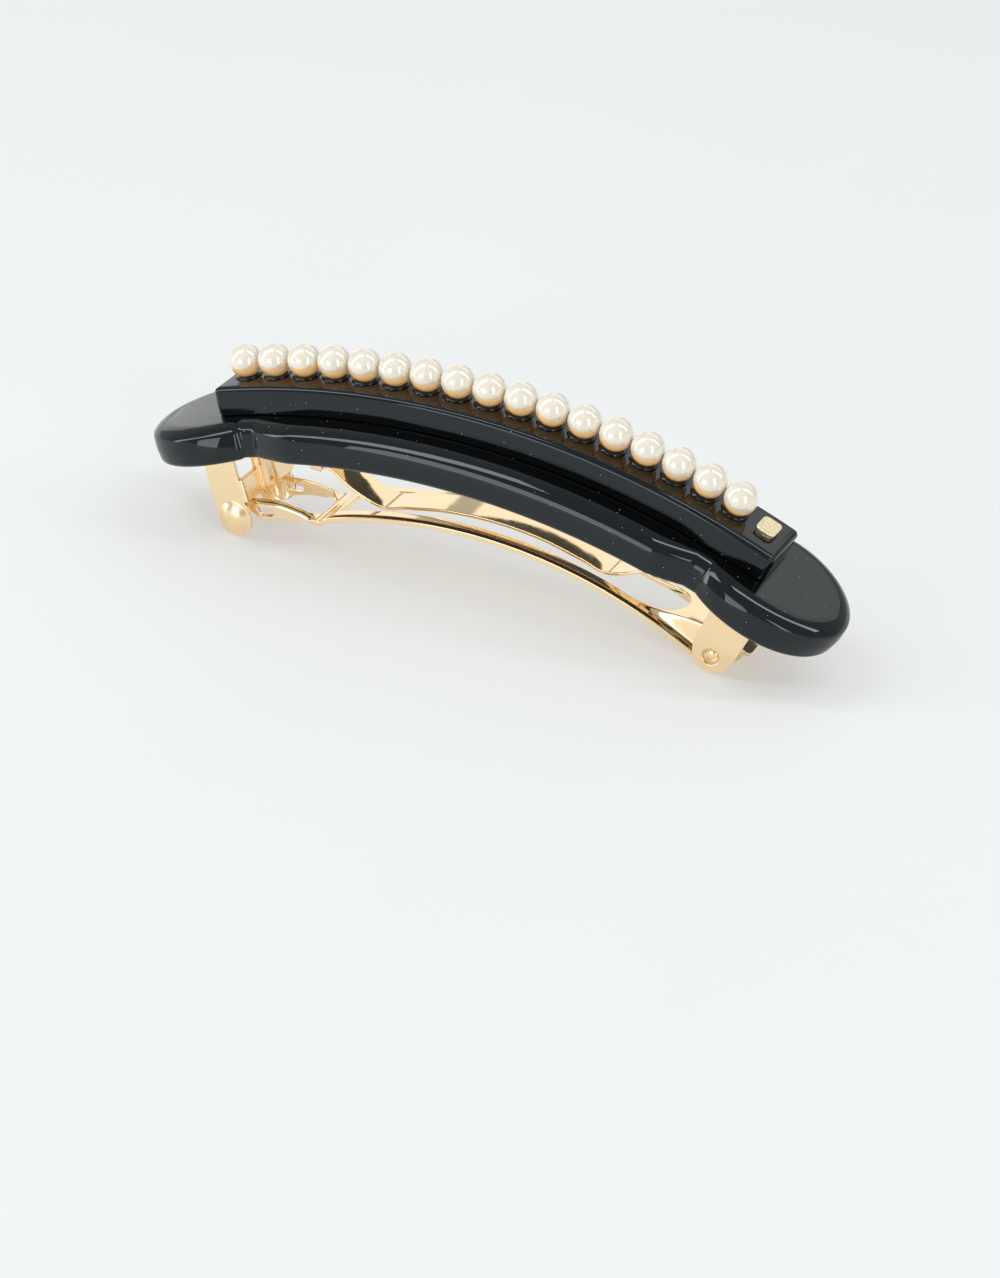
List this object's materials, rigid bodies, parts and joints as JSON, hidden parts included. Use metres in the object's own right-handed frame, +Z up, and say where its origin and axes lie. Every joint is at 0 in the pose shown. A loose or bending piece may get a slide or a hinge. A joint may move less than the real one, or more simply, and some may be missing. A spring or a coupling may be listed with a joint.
{
  "type": "barrette",
  "caption": "Curved two-layer black acetate barrette with a row of round pearls and a square gold stud, on a sprung automatic gold-plated clip.",
  "frame": {"origin": "centre of the bounding box in plan, on the surface that the clip's two thumb pads and two hinge ears stand on", "axes": "+X along the barrette towards the hinge end, +Y across it towards the back, +Z up out of the pearls"},
  "size_m": [0.109, 0.0224, 0.034],
  "materials": {
    "acetate": "polished black acetate with a high gloss",
    "pearl": "cream pearlescent coating with a soft lustre",
    "gold_stud": "polished pale gold plating",
    "gold_plate": "bright pale gold plating over spring steel"
  },
  "bodies": {
    "clip_body": {"base_plate": "acetate", "top_bar": "acetate", "pearl_01": "pearl", "pearl_02": "pearl", "pearl_03": "pearl", "pearl_04": "pearl", "pearl_05": "pearl", "pearl_06": "pearl", "pearl_07": "pearl", "pearl_08": "pearl", "pearl_09": "pearl", "pearl_10": "pearl", "pearl_11": "pearl", "pearl_12": "pearl", "pearl_13": "pearl", "pearl_14": "pearl", "pearl_15": "pearl", "pearl_16": "pearl", "pearl_17": "pearl", "square_stud": "gold_stud", "clip_frame": "gold_plate", "rivet_catch_end": "gold_plate", "rivet_hinge_end": "gold_plate"},
    "lever": {"lever_arm": "gold_plate"},
    "front_tab": {"thumb_tab_front": "gold_plate"},
    "back_tab": {"thumb_tab_back": "gold_plate"},
    "spring_bar": {"tension_bar": "gold_plate"}
  },
  "joints": [
    {"name": "lever_hinge", "type": "hinge", "parent": "clip_body", "child": "lever", "pos_m": [0.03793, 0, 0.00288], "axis": [0, -1, 0], "range_deg": [0, 100]},
    {"name": "front_tab_squeeze", "type": "hinge", "parent": "clip_body", "child": "front_tab", "pos_m": [-0.04144, -0.0062, 0.01133], "axis": [0.9446, 0, 0.3281], "range_deg": [0, 3], "stiffness_Nm_per_rad": 0.004},
    {"name": "back_tab_squeeze", "type": "hinge", "parent": "clip_body", "child": "back_tab", "pos_m": [-0.04144, 0.0062, 0.01133], "axis": [-0.9446, 0, -0.3281], "range_deg": [0, 3], "stiffness_Nm_per_rad": 0.004},
    {"name": "tension_bar_flex", "type": "hinge", "parent": "clip_body", "child": "spring_bar", "pos_m": [0.02844, 0, 0.01237], "axis": [0, 1, 0], "range_deg": [0, 1.1], "stiffness_Nm_per_rad": 0.1}
  ]
}
